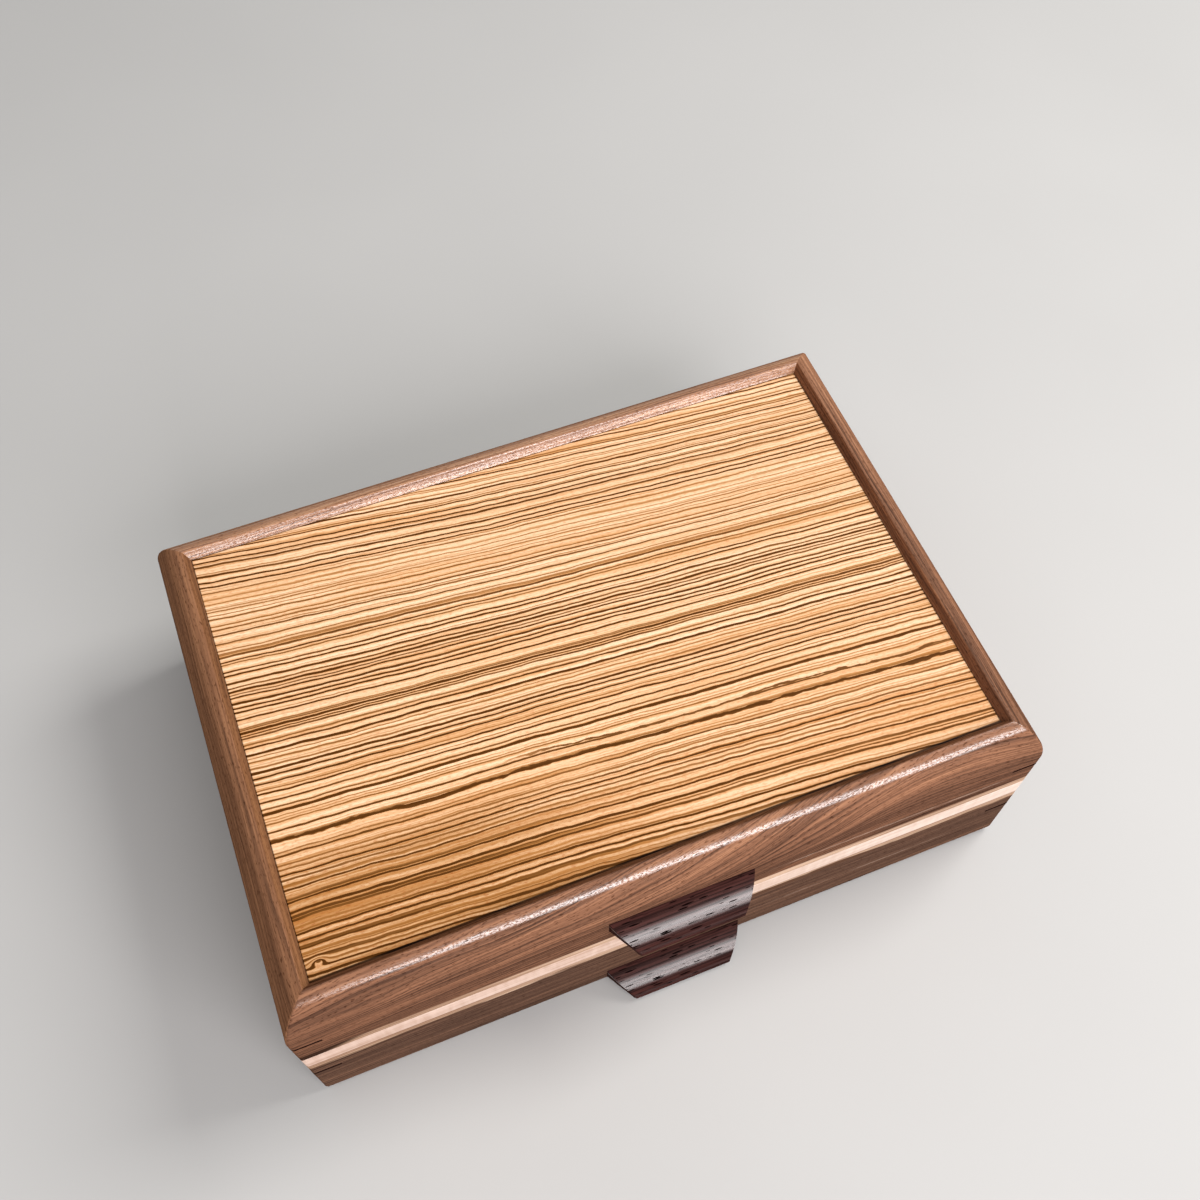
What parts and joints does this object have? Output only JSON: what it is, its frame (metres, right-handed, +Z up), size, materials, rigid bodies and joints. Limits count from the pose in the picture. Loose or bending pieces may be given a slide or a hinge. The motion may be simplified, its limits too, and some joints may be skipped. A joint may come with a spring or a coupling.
{
  "type": "jewelry chest",
  "caption": "Mitred walnut jewelry chest with a striped lid panel in a rounded frame, a light accent band, keyed corners, lip pulls and a sliding ring tray under the hinged lid.",
  "frame": {"origin": "on the table, in the middle of the whole footprint, pulls and hinge barrels included", "axes": "+X along the front to the right, +Y from the front to the hinged back, +Z up"},
  "size_m": [0.3, 0.2304, 0.0969],
  "materials": {
    "walnut": "satin oiled walnut, grain along each side",
    "zebrawood_panel": "satin zebrawood, dark wavy stripes along the length",
    "maple_band": "satin pale maple",
    "tan_strip": "satin tan hardwood strip",
    "dark_wood": "satin wenge with open pores",
    "maple_fittings": "satin maple",
    "birch_board": "birch plywood",
    "velvet": "short pile velvet, wine red",
    "brass": "satin brass"
  },
  "bodies": {
    "base": {"base_band_back": "maple_band", "base_band_front": "maple_band", "base_band_left": "maple_band", "base_band_right": "maple_band", "base_bottom": "birch_board", "base_divider_left": "maple_fittings", "base_divider_long": "maple_fittings", "base_divider_right": "maple_fittings", "base_keys": "dark_wood", "base_lining": "velvet", "base_pull": "dark_wood", "base_trim_back": "tan_strip", "base_trim_front": "tan_strip", "base_trim_left": "tan_strip", "base_trim_right": "tan_strip", "base_wall_back": "walnut", "base_wall_front": "walnut", "base_wall_left": "walnut", "base_wall_right": "walnut", "hinge_leaves_base": "brass", "hinge_pins": "brass", "hinge_screws_base": "brass", "runner_back": "maple_fittings", "runner_front": "maple_fittings"},
    "lid": {"hinge_leaves_lid": "brass", "hinge_screws_lid": "brass", "lid_keys": "dark_wood", "lid_panel": "zebrawood_panel", "lid_pull": "dark_wood", "lid_rail_back": "walnut", "lid_rail_front": "walnut", "lid_rail_left": "walnut", "lid_rail_right": "walnut", "lid_trim_back": "tan_strip", "lid_trim_front": "tan_strip", "lid_trim_left": "tan_strip", "lid_trim_right": "tan_strip"},
    "tray": {"ring_roll_1": "velvet", "ring_roll_2": "velvet", "ring_roll_3": "velvet", "ring_roll_4": "velvet", "ring_roll_5": "velvet", "tray_divider_long": "maple_fittings", "tray_divider_short": "maple_fittings", "tray_floor": "birch_board", "tray_pad_left": "velvet", "tray_pad_right": "velvet", "tray_side_back": "maple_fittings", "tray_side_front": "maple_fittings", "tray_side_left": "maple_fittings", "tray_side_right": "maple_fittings"}
  },
  "joints": [
    {"name": "lid_hinge", "type": "hinge", "parent": "base", "child": "lid", "pos_m": [0, 0.1122, 0.055], "axis": [-1, 0, 0], "range_deg": [0, 95]},
    {"name": "tray_slide", "type": "slide", "parent": "base", "child": "tray", "axis": [1, 0, 0], "range_m": [0, 0.149]}
  ]
}
